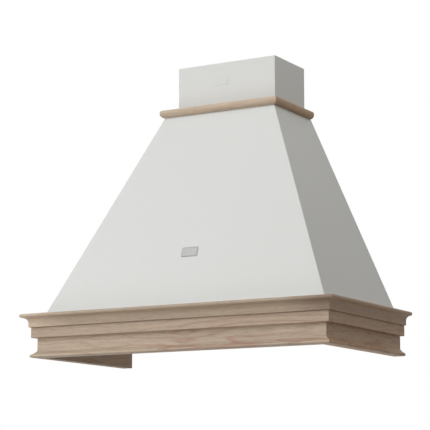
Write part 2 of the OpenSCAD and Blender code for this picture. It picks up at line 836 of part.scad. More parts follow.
// The blades stand between the hub's disc and the end rings
module impeller_blades() {
    color(dark) translate([0, axis_y, axis_z]) both_sides()
        for (i = [0:blade_n - 1]) rotate([i * 360 / blade_n, 0, 0])
            translate([disc_t / 2, 0, impeller_d / 2 - rim_gap]) rotate([blade_tilt, 0, 0])
                translate([0, -blade_t / 2, -blade_l]) cube([impeller_w / 2 - ring_t - disc_t / 2, blade_t, blade_l]);
}
module motor_shaft() {
    color(steel) rod_x(shaft_d / 2, -motor_x0, motor_x1 - 4, axis_y, axis_z);
}
module motor_body() {
    r = motor_d / 2;
    color(zinc) translate([0, axis_y, axis_z]) difference() {
        union() {
            rod_x(r - 4, motor_x0, motor_x1, 0, 0);
            rod_x(r, motor_x0 + 8, motor_x1 - 8, 0, 0);
            rod_x(hub_r + 8, motor_x1 - eps, scroll_hw, 0, 0);
        }
        rod_x(shaft_d / 2 + shaft_gap, motor_x0 - 1, motor_x1 - 2, 0, 0);
    }
}
module motor_bracket() {
    color(zinc) translate([scroll_hw, axis_y, axis_z]) {
        rod_x(hub_r + 16, 0, mount_bar, 0, 0);
        for (a = [0, 120, 240]) rotate([a, 0, 0]) span([0, -8, hub_r], [mount_bar, 8, inlet_d / 2 + 15]);
    }
}
module guard(x) {
    outer = inlet_d / 2 + 5;
    color(steel) translate([x, axis_y, axis_z]) rotate([90, 0, 90]) linear_extrude(guard_t) {
        for (ring = [[24, 2.5], [42, 2.5], [outer, 6]]) difference() {
            circle(ring[0]);
            circle(ring[0] - ring[1]);
        }
        for (a = [30:60:330]) rotate(a) translate([23, -1.2]) square([outer - 26, 2.4]);
    }
}
module inlet_guard_right() { guard(scroll_hw + mount_bar); }
module inlet_guard_left() { mirror([1, 0, 0]) guard(scroll_hw); }

// Angle brackets between the casing's side plates and the back panel
bracket_leg = 28;
mount_t = 1.5;
mount_l = 34;
leg_h = 36;
mount_low = -70;
mount_high = 60;
module blower_mounts() {
    color(zinc) both_sides() for (z = [axis_z + mount_low, axis_z + mount_high]) {
        span([scroll_hw, -frame_t - mount_l, z], [scroll_hw + mount_t, -frame_t, z + leg_h]);
        span([scroll_hw, -frame_t - mount_t, z], [scroll_hw + bracket_leg, -frame_t, z + leg_h]);
    }
}

// Duct spigot with its two non-return flaps

module duct_spigot() {
    r = spigot_r;
    color(dark) difference() {
        union() {
            rod_z(r, spigot_z, spigot_z + spigot_h, 0, spigot_y);
            span([-r - 7, spigot_y - r - 1, spigot_z], [r + 7, spigot_y + r + 1, spigot_z + spigot_flange]);
        }
        difference() {
            rod_z(r - spigot_t, spigot_z - 1, spigot_z + spigot_h + 1, 0, spigot_y);
            difference() {
                flap_seat_z = pin_z - flap_t / 2 - rest_gap;
                rod_z(r - spigot_t + eps, flap_seat_z - seat_t, flap_seat_z, 0, spigot_y);
                rod_z(r - spigot_t - seat_w, flap_seat_z - seat_t - 1, flap_seat_z + 1, 0, spigot_y);
            }
        }
        rod_x(flap_pin_d / 2, -r - 1, r + 1, spigot_y, pin_z);
    }
}
module flap_pin() {
    color(steel) rod_x(flap_pin_d / 2, -spigot_r + 0.5, spigot_r - 0.5, spigot_y, pin_z);
}

// One flap, on the wall side: a half disc with knuckles at the given places along the pin
module flap(starts) {
    edge = knuckle_r + 0.3;
    color(alloy) translate([0, spigot_y, pin_z]) difference() {
        union() {
            intersection() {
                rod_z(flap_r, -flap_t / 2, flap_t / 2, 0, 0);
                span([-flap_r, edge, -flap_t], [flap_r, flap_r, flap_t]);
            }
            for (x = starts) {
                rod_x(knuckle_r, x + 0.3, x + knuckle_l - 0.3, 0, 0);
                span([x + 0.3, 0, -flap_t / 2], [x + knuckle_l - 0.3, edge + 2, flap_t / 2]);
            }
        }
        rod_x(flap_pin_d / 2 + flap_gap, -flap_r, flap_r, 0, 0);
    }
}
module flap_rear() { flap([-2 * knuckle_l, 0]); }
module flap_front() {
    translate([0, 2 * spigot_y, 0]) mirror([0, 1, 0]) flap([-knuckle_l, knuckle_l]);
}

// Supply box on the back panel

box_t = 2;
lid_t = 2;
box_x0 = -box_x - box_w / 2;
box_x1 = -box_x + box_w / 2;
box_y = -frame_t - box_d;
box_z0 = base_z + box_z;
box_z1 = box_z0 + box_h - box_t;
gland_h = 20;
gland_nut_h = 6;
gland_collar_h = 12;
gland_wall = 2.5;
gland_y = -frame_t - box_d / 2;

// The box is open towards the room, where its lid goes, and upwards, where the gland's plate goes
module junction_box() {
    color(casing) difference() {
        span([box_x0, box_y, box_z0], [box_x1, -frame_t, box_z1]);
        span([box_x0 + box_t, box_y - 1, box_z0 + box_t], [box_x1 - box_t, -frame_t - box_t, box_z1 + 1]);
    }
}
module junction_lid() {
    color(casing) translate([-box_x, box_y, box_z0 + box_h / 2]) rotate([90, 0, 0])
        round_plate(box_w, box_h, lid_t, 3);
}
module cable_gland() {
    z0 = box_z1 + box_t;
    r = gland_bore_d / 2;
    color(dark) difference() {
        union() {
            span([box_x0, box_y, box_z1], [box_x1, -frame_t, z0]);
            translate([-box_x, gland_y, z0]) cylinder(r = r + 6, h = gland_nut_h, $fn = 6);
            rod_z(r + gland_wall + 1.5, z0, z0 + gland_collar_h, -box_x, gland_y);
            rod_z(r + gland_wall, z0, z0 + gland_h, -box_x, gland_y);
        }
        rod_z(r, box_z1 - 1, z0 + gland_h + 1, -box_x, gland_y);
    }
}

// Plates on the canopy and the chimney: blank, with rounded corners

badge_t = 1.2;
badge_rim = 1.6;
module badge_canopy() {
    face_y = -canopy_d + (canopy_d - ledge_d) * badge_z / canopy_h;
    color(steel) translate([0, face_y, canopy_z + badge_z]) rotate([90 - slope_a, 0, 0]) difference() {
        round_plate(badge_w, badge_h, badge_t, 3);
        translate([0, 0, badge_t - 0.4]) round_plate(badge_w - 2 * badge_rim, badge_h - 2 * badge_rim, 1, 1.6);
    }
}
module badge_chimney() {
    color(steel) translate([tag_x, -chimney_d, collar_z + tag_z]) rotate([90, 0, 0])
        round_plate(tag_w, tag_h, badge_t - 0.4, 1.2);
}

// Fasteners

module panel_screws() {
    color(steel) panel_screw_places() {
        rod_z(head_r, panel_z - head_t, panel_z, 0, 0);
        rod_z(screw_d / 2, panel_z - eps, frame_z + frame_t + 6, 0, 0);
    }
}
module cornice_screws() {
    color(steel) {
        for (x = front_screws) {
            rod_y(head_r, -inner_d + frame_t, -inner_d + frame_t + head_t, x, screw_z);
            rod_y(screw_d / 2, -inner_d - pilot_l, -inner_d + frame_t + eps, x, screw_z);
        }
        both_sides() for (y = side_screws) {
            rod_x(head_r, inner_hw - frame_t - head_t, inner_hw - frame_t, y, screw_z);
            rod_x(screw_d / 2, inner_hw - frame_t - eps, inner_hw + pilot_l, y, screw_z);
        }
    }
}

fascia_front();
fascia_left();
fascia_right();
band_front();
band_left();
band_right();
crown_front();
crown_left();
crown_right();
collar_front();
collar_left();
collar_right();
canopy_shell();
base_frame();
back_panel();
lower_chimney();
upper_chimney();
chimney_bracket();
suction_panel();
filter_frame_left();
filter_frame_right();
filter_mesh_left();
filter_mesh_right();
filter_latch_left();
filter_latch_right();
filter_hinge_ears();
lamp_bezel_left();
lamp_bezel_right();
lamp_lens_left();
lamp_lens_right();
lamp_body_left();
lamp_body_right();
control_plate();
control_housing();
button_light();
button_stop();
button_speed_1();
button_speed_2();
button_speed_3();
scroll_left();
scroll_right();
impeller();
impeller_blades();
motor_shaft();
motor_body();
motor_bracket();
inlet_guard_left();
inlet_guard_right();
blower_mounts();
duct_spigot();
flap_front();
flap_rear();
flap_pin();
junction_box();
junction_lid();
cable_gland();
badge_canopy();
badge_chimney();
panel_screws();
cornice_screws();
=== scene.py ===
"""Range hood: the finish of every surface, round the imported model. Metres, in the model's own frame."""

import json
import math

import bmesh
import bpy
from mathutils import Euler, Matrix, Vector

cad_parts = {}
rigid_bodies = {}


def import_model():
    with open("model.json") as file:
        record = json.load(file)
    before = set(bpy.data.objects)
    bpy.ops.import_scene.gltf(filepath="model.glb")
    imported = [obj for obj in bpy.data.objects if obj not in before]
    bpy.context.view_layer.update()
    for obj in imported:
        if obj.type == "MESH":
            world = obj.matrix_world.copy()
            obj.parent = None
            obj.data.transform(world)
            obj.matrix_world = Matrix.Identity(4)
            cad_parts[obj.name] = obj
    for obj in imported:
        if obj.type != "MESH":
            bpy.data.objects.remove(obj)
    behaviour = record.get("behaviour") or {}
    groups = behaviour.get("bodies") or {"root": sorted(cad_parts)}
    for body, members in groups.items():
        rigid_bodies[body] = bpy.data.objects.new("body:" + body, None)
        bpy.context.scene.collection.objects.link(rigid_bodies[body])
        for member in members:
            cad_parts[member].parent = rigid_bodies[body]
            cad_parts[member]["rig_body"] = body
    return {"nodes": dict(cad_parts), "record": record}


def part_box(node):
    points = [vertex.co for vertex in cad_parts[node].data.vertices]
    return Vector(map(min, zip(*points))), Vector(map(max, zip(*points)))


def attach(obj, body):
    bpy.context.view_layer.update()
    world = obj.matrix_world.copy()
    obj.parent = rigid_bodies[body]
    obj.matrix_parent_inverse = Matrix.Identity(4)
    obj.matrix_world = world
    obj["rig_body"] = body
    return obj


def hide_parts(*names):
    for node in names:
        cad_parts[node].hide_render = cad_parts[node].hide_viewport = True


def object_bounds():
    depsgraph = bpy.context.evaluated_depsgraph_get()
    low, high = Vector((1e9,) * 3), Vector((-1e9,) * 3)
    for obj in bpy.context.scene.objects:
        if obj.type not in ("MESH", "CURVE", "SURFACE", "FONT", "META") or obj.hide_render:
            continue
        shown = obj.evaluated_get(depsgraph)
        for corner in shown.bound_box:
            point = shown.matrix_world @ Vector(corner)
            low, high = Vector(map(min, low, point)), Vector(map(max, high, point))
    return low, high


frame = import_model()
cad_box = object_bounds()
nodes = frame["nodes"]
slots = {part["node"]: part["material_slot"] for part in frame["record"]["subparts"]}

MM = 0.001

# Camera, world and lights; the camera is fitted to the photograph
CAMERA_PLACE = (2.1501, -3.9602, -0.6813)
CAMERA_YAW = math.radians(29.941)
CAMERA_PITCH = math.radians(9.468)
CAMERA_LENS = 141.12
SENSOR = 36.0
AMBIENT = 0.31
AMBIENT_LOW = 0.56      # the share of it that comes from level and below
AMBIENT_FULL = 0.8      # how far up, from 0 to 1, the full ambient light starts
AMBIENT_COLOR = (1.0, 0.985, 0.92, 1)
KEY_PLACE = (-3.6, -5.4, 3.7)
KEY_SIZE = 6.0
KEY_POWER = 322
KEY_COLOR = (0.962, 0.983, 1.0)
FILL_PLACE = (1.1, -0.6, 1.3)
FILL_SIZE = 0.8
FILL_POWER = 4.2
FILL_COLOR = (1.0, 0.985, 0.93)
BOUNCE_PLACE = (-2.4, -4.2, -2.5)
BOUNCE_SIZE = 3.0
BOUNCE_POWER = 62
BOUNCE_COLOR = (1.0, 0.985, 0.96)
FLOOR_DROP = 3.4
FLOOR_HALF = 12.0
FLOOR_GLOW = 0.72       # how much of the floor shows as white, so that it looks pale and keeps shadows


# Shader helpers

def new_material(name, color, roughness, metallic=0.0, **sockets):
    """A Principled material whose constants sit on the shader's own sockets."""
    mat = bpy.data.materials.new(name)
    mat.use_nodes = True
    shader = mat.node_tree.nodes["Principled BSDF"]
    shader.inputs["Base Color"].default_value = (*color, 1)
    shader.inputs["Roughness"].default_value = roughness
    shader.inputs["Metallic"].default_value = metallic
    for socket, value in sockets.items():
        shader.inputs[socket.replace("_", " ")].default_value = value
    mat.diffuse_color = (*color, 1)
    return mat, mat.node_tree, shader


def add(tree, kind, inputs=None, **settings):
    """A node of the given kind; inputs are links or values."""
    node = tree.nodes.new(kind)
    for key, value in settings.items():
        setattr(node, key, value)
    for key, value in (inputs or {}).items():
        if isinstance(value, bpy.types.NodeSocket):
            tree.links.new(value, node.inputs[key])
        else:
            node.inputs[key].default_value = value
    return node


def placed(tree, scale=(1, 1, 1), turn=(0, 0, 0), place=(0, 0, 0)):
    """Object coordinates, moved, turned and scaled."""
    coord = add(tree, "ShaderNodeTexCoord")
    node = add(tree, "ShaderNodeMapping", {"Vector": coord.outputs["Object"], "Location": place,
                                           "Rotation": turn, "Scale": scale})
    return node.outputs["Vector"]


def noise(tree, vector, scale=1.0, detail=3.0, roughness=0.5):
    node = add(tree, "ShaderNodeTexNoise", {"Vector": vector, "Scale": scale, "Detail": detail,
                                            "Roughness": roughness})
    return node.outputs["Fac"]


def math_node(tree, operation, *values):
    """One sum of a Math node; the values are links or numbers."""
    return add(tree, "ShaderNodeMath", dict(enumerate(values)), operation=operation).outputs[0]


def ramp(tree, fac, stops):
    """Colour ramp from (place, colour) stops; a grey colour may be a single number."""
    node = add(tree, "ShaderNodeValToRGB", {"Fac": fac})
    band = node.color_ramp
    while len(band.elements) < len(stops):
        band.elements.new(0.5)
    for element, (place, color) in zip(band.elements, stops):
        element.position = place
        element.color = (color,) * 3 + (1,) if isinstance(color, (int, float)) else (*color, 1)
    return node.outputs["Color"]


def mix(tree, fac, a, b, blend="MIX"):
    """Colour a blended with colour b; each of the three may be a link."""
    node = tree.nodes.new("ShaderNodeMix")
    node.data_type = "RGBA"
    node.blend_type = blend
    for key, value in ((0, fac), (6, a), (7, b)):
        if isinstance(value, bpy.types.NodeSocket):
            tree.links.new(value, node.inputs[key])
        elif key == 0:
            node.inputs[key].default_value = value
        else:
            node.inputs[key].default_value = (*value, 1)
    return node.outputs[2]


def bump(tree, shader, height, strength, distance):
    """Relief on the surface, at most the distance deep."""
    node = add(tree, "ShaderNodeBump", {"Height": height, "Strength": strength, "Distance": distance})
    tree.links.new(node.outputs["Normal"], shader.inputs["Normal"])


# Wood

OAK_LIGHT = (0.59, 0.468, 0.353)
OAK_DARK = (0.315, 0.215, 0.15)
OAK_RED = (0.47, 0.27, 0.2)
OAK_FLECK = (0.2, 0.135, 0.095)
OAK_ROUGHNESS = 0.55
RING_STEP = 8.5 * MM
RING_LEAN = (0.0, 0.3, 0.42)    # how fast a board crosses the rings: along, sideways and upwards
SWELL_HEIGHT = 60 * MM          # how far slow waves push the rings
RIPPLE_HEIGHT = 30 * MM         # how far quick waves push them
STREAK_TONES = (0.86, 1.12)     # the dull and the pale streaks, against the board's own colour

# How strongly each pattern colours the wood, from 0 to 1
RING_SHADE = 0.26
RED_SHADE = 0.62
FIBRE_SHADE = 0.14
PORE_SHADE = 0.3

# Each pattern of the wood: how often it repeats in a metre along the grain and across it, its noise's
# detail, and its noise's roughness
SWELL = ((0.9, 14, 14), 1.0, 0.4)
RIPPLE = ((5.5, 40, 40), 1.0, 0.4)
CALM = ((1.7, 5, 5), 1.0, 0.4)
PATCHES = ((2.6, 16, 16), 2.0, 0.5)
FIBRES = ((14, 1100, 1100), 2.0, 0.6)
STREAKS = ((3.2, 95, 95), 3.0, 0.55)
PORES = ((48, 900, 900), 2.0, 0.6)
FLECKS = ((34, 230, 230), 2.0, 0.55)


def stretched(tree, vector, scale):
    """The vector times a scale per axis; a small first number draws a pattern out along the grain."""
    node = add(tree, "ShaderNodeVectorMath", {0: vector, 1: scale}, operation="MULTIPLY")
    return node.outputs[0]


def grain_noise(tree, board, pattern):
    """A pattern's noise, drawn out along the board's grain."""
    scale, detail, roughness = pattern
    return noise(tree, stretched(tree, board, scale), detail=detail, roughness=roughness)


def oak(name, along, place, figure, tone_and_shade, flecks, painted_shade_tones=None):
    """Limed oak with its grain along X or Y. place shifts the board through the trunk, figure is how strong
    the growth rings and red streaks are, and flecks is how dark the short flecks are. The board's colours are
    multiplied by its own colour, which on the side boards also holds painted shade. The last, optional stops
    make the board paler or darker from the hood's left end, 0, to its right end, 1; on the crown this paints
    shade towards its right corner."""
    light, dark, red, fleck = ([c * t for c, t in zip(tone, tone_and_shade)]
                               for tone in (OAK_LIGHT, OAK_DARK, OAK_RED, OAK_FLECK))
    mat, tree, shader = new_material(name, light, OAK_ROUGHNESS)
    turn = (0, 0, 0) if along == "X" else (0, 0, math.pi / 2)
    board = placed(tree, turn=turn, place=place)

    # The saw cut runs nearly along the growth rings, so a slow swell makes ovals and long parallel lines
    swell = grain_noise(tree, board, SWELL)
    ripple = grain_noise(tree, board, RIPPLE)
    calm = ramp(tree, grain_noise(tree, board, CALM), [(0.36, 0.25), (0.6, 1.0)])
    rise = math_node(tree, "ADD", math_node(tree, "MULTIPLY", swell, SWELL_HEIGHT),
                     math_node(tree, "MULTIPLY", math_node(tree, "MULTIPLY", ripple, calm), RIPPLE_HEIGHT))
    height = add(tree, "ShaderNodeSeparateXYZ", {0: stretched(tree, board, RING_LEAN)})
    depth = math_node(tree, "ADD", math_node(tree, "ADD", height.outputs["Y"], height.outputs["Z"]), rise)
    phase = math_node(tree, "FRACT", math_node(tree, "DIVIDE", depth, RING_STEP))
    late = ramp(tree, phase, [(0.0, 0.0), (0.55, 0.0), (0.82, 1.0), (1.0, 0.0)])

    # Red outlines come and go along the board
    patch = ramp(tree, grain_noise(tree, board, PATCHES), [(0.42, 0.0), (0.58, 1.0)])
    red_line = math_node(tree, "MULTIPLY", late, patch)

    # Streaks, fibres, pores and short flecks along the grain
    fibre = grain_noise(tree, board, FIBRES)
    streak = grain_noise(tree, board, STREAKS)
    pores = ramp(tree, grain_noise(tree, board, PORES), [(0.55, 0.0), (0.64, 1.0)])
    fleck_mask = ramp(tree, grain_noise(tree, board, FLECKS), [(0.57, 0.0), (0.68, 1.0)])

    dull, pale = ([min(1, c * tone) for c in light] for tone in STREAK_TONES)
    color = mix(tree, ramp(tree, streak, [(0.3, 0.0), (0.7, 1.0)]), dull, pale)
    color = mix(tree, ramp(tree, fibre, [(0.35, FIBRE_SHADE), (0.65, 0.0)]), color, dark)
    color = mix(tree, math_node(tree, "MULTIPLY", late, RING_SHADE * figure), color, dark)
    color = mix(tree, math_node(tree, "MULTIPLY", red_line, RED_SHADE * figure), color, red)
    color = mix(tree, math_node(tree, "MULTIPLY", pores, PORE_SHADE), color, fleck)
    color = mix(tree, math_node(tree, "MULTIPLY", fleck_mask, flecks), color, fleck)
    # Painted shade: the board gets paler or darker along the hood, which darkens the crown's front towards
    # its right corner
    if painted_shade_tones:
        across = add(tree, "ShaderNodeSeparateXYZ", {0: placed(tree)})
        hood_width = cad_box[1][0] - cad_box[0][0]
        share = math_node(tree, "MULTIPLY_ADD", across.outputs["X"], 1 / hood_width, 0.5)
        color = mix(tree, 1.0, color, ramp(tree, share, painted_shade_tones), "MULTIPLY")
    tree.links.new(color, shader.inputs["Base Color"])
    tree.links.new(ramp(tree, streak, [(0.2, 0.5), (0.8, 0.62)]), shader.inputs["Roughness"])
    bump(tree, shader, math_node(tree, "MULTIPLY", pores, -1.0), 0.4, 0.3 * MM)
    return mat


# Metals, plastics and glass

def powder_coat():
    """Warm white satin powder coat with a fine orange peel."""
    mat, tree, shader = new_material("cream_powder_coat", (0.715, 0.716, 0.7), 0.42)
    cloud = noise(tree, placed(tree), scale=3.0, detail=2.0)
    color = mix(tree, cloud, (0.709, 0.71, 0.695), (0.721, 0.722, 0.706))
    tree.links.new(color, shader.inputs["Base Color"])
    patch = noise(tree, placed(tree), scale=60.0, detail=2.0)
    tree.links.new(ramp(tree, patch, [(0.3, 0.38), (0.7, 0.46)]), shader.inputs["Roughness"])
    peel = noise(tree, placed(tree), scale=700.0, detail=2.0)
    bump(tree, shader, peel, 0.12, 0.2 * MM)
    return mat


def brushed(name, color, roughness, along="X", depth=0.15):
    """Sheet brushed in one direction: fine scratches stretched along it."""
    mat, tree, shader = new_material(name, color, roughness, 1.0)
    scale = {"X": (6, 900, 900), "Y": (900, 6, 900), "Z": (900, 900, 6)}[along]
    scratch = noise(tree, placed(tree, scale), detail=3.0, roughness=0.65)
    tree.links.new(ramp(tree, scratch, [(0.3, roughness - 0.08), (0.7, roughness + 0.12)]),
                   shader.inputs["Roughness"])
    dull = tuple(c * 0.9 for c in color)
    tree.links.new(mix(tree, scratch, dull, color), shader.inputs["Base Color"])
    bump(tree, shader, scratch, depth, 0.05 * MM)
    return mat


def galvanised():
    """Zinc coated sheet: flakes of slightly different grey."""
    mat, tree, shader = new_material("galvanised_sheet", (0.56, 0.58, 0.6), 0.45, 0.9)
    flakes = add(tree, "ShaderNodeTexVoronoi", {"Vector": placed(tree), "Scale": 130.0}, feature="F1")
    tone = add(tree, "ShaderNodeSeparateColor", {"Color": flakes.outputs["Color"]})
    tree.links.new(mix(tree, tone.outputs[0], (0.54, 0.56, 0.58), (0.6, 0.62, 0.64)),
                   shader.inputs["Base Color"])
    tree.links.new(ramp(tree, tone.outputs[1], [(0.0, 0.42), (1.0, 0.52)]), shader.inputs["Roughness"])
    bump(tree, shader, tone.outputs[0], 0.1, 0.1 * MM)
    return mat


def plate_finish():
    """Satin anodised plate, darker on its raised rim than in its sunk middle."""
    mat, tree, shader = new_material("plate_metal", (0.5, 0.5, 0.5), 0.6, 0.15)
    sunk = add(tree, "ShaderNodeAttribute", attribute_name="sunk")
    grain = noise(tree, placed(tree, (8, 700, 700)), detail=3.0, roughness=0.6)
    face = mix(tree, grain, (0.63, 0.63, 0.63), (0.67, 0.67, 0.67))
    rim = mix(tree, grain, (0.17, 0.17, 0.17), (0.2, 0.2, 0.2))
    tree.links.new(mix(tree, sunk.outputs["Fac"], rim, face), shader.inputs["Base Color"])
    tree.links.new(ramp(tree, grain, [(0.3, 0.56), (0.7, 0.64)]), shader.inputs["Roughness"])
    return mat


def cast_metal(name, color, roughness=0.5):
    """Die cast metal with a grainy skin."""
    mat, tree, shader = new_material(name, color, roughness, 0.85)
    grain = noise(tree, placed(tree), scale=900.0, detail=3.0, roughness=0.7)
    tree.links.new(mix(tree, grain, tuple(c * 0.85 for c in color), color), shader.inputs["Base Color"])
    tree.links.new(ramp(tree, grain, [(0.3, roughness - 0.06), (0.7, roughness + 0.1)]),
                   shader.inputs["Roughness"])
    bump(tree, shader, grain, 0.3, 0.2 * MM)
    return mat


def moulded(name, color, roughness=0.5, grain_scale=1400.0):
    """Moulded plastic with a fine spark texture."""
    mat, tree, shader = new_material(name, color, roughness)
    grain = noise(tree, placed(tree), scale=grain_scale, detail=2.0, roughness=0.6)
    cloud = noise(tree, placed(tree), scale=14.0, detail=2.0)
    tree.links.new(mix(tree, cloud, tuple(c * 0.9 for c in color), tuple(min(1, c * 1.1) for c in color)),
                   shader.inputs["Base Color"])
    tree.links.new(ramp(tree, grain, [(0.3, roughness - 0.05), (0.7, roughness + 0.08)]),
                   shader.inputs["Roughness"])
    bump(tree, shader, grain, 0.2, 0.1 * MM)
    return mat


def frosted_lens():
    """Frosted lamp glass that scatters the light."""
    mat, tree, shader = new_material("frosted_lens", (0.93, 0.95, 0.96), 0.35,
                                     Transmission_Weight=0.75, IOR=1.48)
    frost = noise(tree, placed(tree), scale=1600.0, detail=2.0)
    tree.links.new(ramp(tree, frost, [(0.3, 0.28), (0.7, 0.42)]), shader.inputs["Roughness"])
    tree.links.new(mix(tree, frost, (0.9, 0.92, 0.93), (0.96, 0.97, 0.98)), shader.inputs["Base Color"])
    bump(tree, shader, frost, 0.2, 0.1 * MM)
    return mat


MATERIALS = {
    "cream_paint": powder_coat(),
    "galvanised": galvanised(),
    "stainless": brushed("brushed_stainless", (0.62, 0.62, 0.61), 0.3),
    "alloy": brushed("filter_aluminium", (0.74, 0.75, 0.76), 0.34, depth=0.1),
    "black_plastic": moulded("black_plastic", (0.028, 0.028, 0.03), 0.45),
    "lens_glass": frosted_lens(),
    "lamp_casting": cast_metal("lamp_casting", (0.42, 0.43, 0.44)),
    "button_metal": brushed("button_metal", (0.7, 0.7, 0.71), 0.25, along="Y", depth=0.1),
    "grey_plastic": moulded("grey_plastic", (0.3, 0.31, 0.33)),
    "blower_plastic": moulded("blower_plastic", (0.17, 0.18, 0.2), 0.55, grain_scale=700.0),
    "motor_casting": cast_metal("motor_casting", (0.48, 0.49, 0.5)),
    "guard_wire": brushed("guard_wire", (0.6, 0.61, 0.62), 0.35, along="Z"),
    "bright_steel": brushed("bright_steel", (0.58, 0.58, 0.59), 0.22),
    "plate_metal": plate_finish(),
    "screw_zinc": brushed("screw_zinc", (0.66, 0.67, 0.68), 0.3),
}

# Each board is cut from its own place in the trunk and has its own colour; on the side boards this colour
# also holds
# painted shade: (grain axis, place, figure, colour with painted shade, flecks, and stops where the board's
# colour changes along it)
FRONT_TINT = (0.995, 0.985, 0.99)
BAND_TINT = (0.915, 0.87, 0.865)
CROWN_TINT = (1.3, 1.29, 1.29)
# Painted shade: the side boards are darker than the front ones, as well as warmer in tone
SIDE_TINT_AND_PAINTED_SHADE = (0.885, 0.74, 0.615)
# Painted shade: the left fascia, whose inner face is seen in shade, is darker still
PAINTED_SHADE_LEFT_TINT = (0.7, 0.59, 0.5)
# Painted shade: the crown's sides are darker than its front
CROWN_SIDE_TINT_AND_PAINTED_SHADE = (0.8, 0.68, 0.575)
# Painted shade: the crown's front darkens towards its right corner to the shade of its side; it is also paler
# at its left end
CROWN_PAINTED_SHADE_TONES = [(0.0, 1.0), (0.17, (0.71, 0.7, 0.69)), (0.84, (0.66, 0.645, 0.63)),
               (0.965, (0.41, 0.365, 0.335))]
COLLAR_TINT = (1.07, 1.06, 1.05)
BOARDS = {
    "fascia_front": ("X", (7.7, 0.4, 0.33), 1.1, FRONT_TINT, 0.16),
    "fascia_left": ("Y", (1.9, 0.04, 0.255), 0.6, PAINTED_SHADE_LEFT_TINT, 0.2),
    "fascia_right": ("Y", (13.0, 0.52, 0.33), 1.2, SIDE_TINT_AND_PAINTED_SHADE, 0.75),
    "band_front": ("X", (11.0, 0.6, 0.33), 0.8, BAND_TINT, 0.08),
    "band_left": ("Y", (6.1, 0.1, 0.2), 0.6, SIDE_TINT_AND_PAINTED_SHADE, 0.25),
    "band_right": ("Y", (7.4, 0.1, 0.22), 0.8, SIDE_TINT_AND_PAINTED_SHADE, 0.45),
    "crown_front": ("X", (8.7, 0.3, 0.6), 0.15, CROWN_TINT, 0.0, CROWN_PAINTED_SHADE_TONES),
    "crown_left": ("Y", (9.9, 0.3, 0.6), 0.15, CROWN_SIDE_TINT_AND_PAINTED_SHADE, 0.1),
    "crown_right": ("Y", (11.2, 0.3, 0.6), 0.15, CROWN_SIDE_TINT_AND_PAINTED_SHADE, 0.1),
    "collar_front": ("X", (12.1, 0.3, 0.1), 0.3, COLLAR_TINT, 0.0),
    "collar_left": ("Y", (13.3, 0.3, 0.1), 0.3, SIDE_TINT_AND_PAINTED_SHADE, 0.1),
    "collar_right": ("Y", (14.6, 0.3, 0.1), 0.3, SIDE_TINT_AND_PAINTED_SHADE, 0.1),
}


# Mesh helpers

WELD = 0.004 * MM               # points closer than this are one
FLAT = math.radians(0.4)        # faces that turn less than this are one
SMOOTH = 34                     # degrees; faces that turn less than this are shaded as one round face
EASED_FROM = 40                 # degrees; an edge whose faces turn more than this is eased
EDGE_STEPS = 2
FOLD_STEPS = 4
STEEP = 0.5                     # the least rise of a fold, as a share of its length
WALL_CLEAR = 5 * MM             # folds stay square this close to the wall


def new_piece(name, mesh, body, material):
    """A piece at the origin that rides on a body and takes its finish from a slot."""
    piece = bpy.data.objects.new(name, mesh)
    bpy.context.scene.collection.objects.link(piece)
    piece.data.materials.clear()
    piece.data.materials.append(material)
    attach(piece, body)
    return piece


def finish_for(node, mesh, material):
    """A piece that stands for a node, on the node's body and in its slot."""
    piece = new_piece(node + "_finish", mesh, nodes[node]["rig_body"], material)
    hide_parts(node)


def baked(source, name):
    """A plain mesh of an object with its modifiers applied; the object is removed."""
    graph = bpy.context.evaluated_depsgraph_get()
    mesh = bpy.data.meshes.new_from_object(source.evaluated_get(graph), preserve_all_data_layers=True,
                                           depsgraph=graph)
    mesh.name = name
    old = source.data
    bpy.data.objects.remove(source)
    bpy.data.meshes.remove(old)
    return mesh


def shaded(mesh):
    """Smooth shading between soft edges, weighted so that flat faces stay flat."""
    mesh.shade_smooth()
    mesh.set_sharp_from_angle(angle=math.radians(SMOOTH))
    source = bpy.data.objects.new(mesh.name + "_plain", mesh)
    bpy.context.scene.collection.objects.link(source)
    weighted = source.modifiers.new("weighted", "WEIGHTED_NORMAL")
    weighted.keep_sharp = True
    return baked(source, mesh.name + "_finish")


def merged_copy(node):
    """The node's mesh as a bmesh, with its loose triangles joined and its flat faces whole."""
    shape = bmesh.new()
    shape.from_mesh(nodes[node].data)
    bmesh.ops.remove_doubles(shape, verts=shape.verts, dist=WELD)
    bmesh.ops.dissolve_limit(shape, angle_limit=FLAT, verts=shape.verts, edges=shape.edges)
    return shape


def is_fold(edge):
    """A steep edge clear of the wall, where sheet metal is bent round a corner."""
    a, b = (vert.co for vert in edge.verts)
    return abs(b.z - a.z) > STEEP * (b - a).length and max(a.y, b.y) < -WALL_CLEAR


def ease_edges(shape, edges, width, segments):
    bmesh.ops.bevel(shape, geom=edges, offset=width, offset_type="OFFSET", segments=segments, profile=0.5,
                    affect="EDGES", clamp_overlap=False)


def sharp_edges(shape, angle):
    """Edges between two faces that turn by more than the angle, in degrees."""
    return [e for e in shape.edges if len(e.link_faces) == 2 and e.calc_face_angle(0) > math.radians(angle)]


def soften(node, width, fold_r=0.0):
    """Stands for a node with its sharp edges eased and its sheet metal folds rounded, as real ones are."""
    shape = merged_copy(node)
    if fold_r:
        ease_edges(shape, [e for e in sharp_edges(shape, SMOOTH) if is_fold(e)], fold_r, FOLD_STEPS)
    ease_edges(shape, sharp_edges(shape, EASED_FROM), width, EDGE_STEPS)
    mesh = bpy.data.meshes.new(node)
    shape.to_mesh(mesh)
    shape.free()
    finish_for(node, shaded(mesh), nodes[node].data.materials[0])


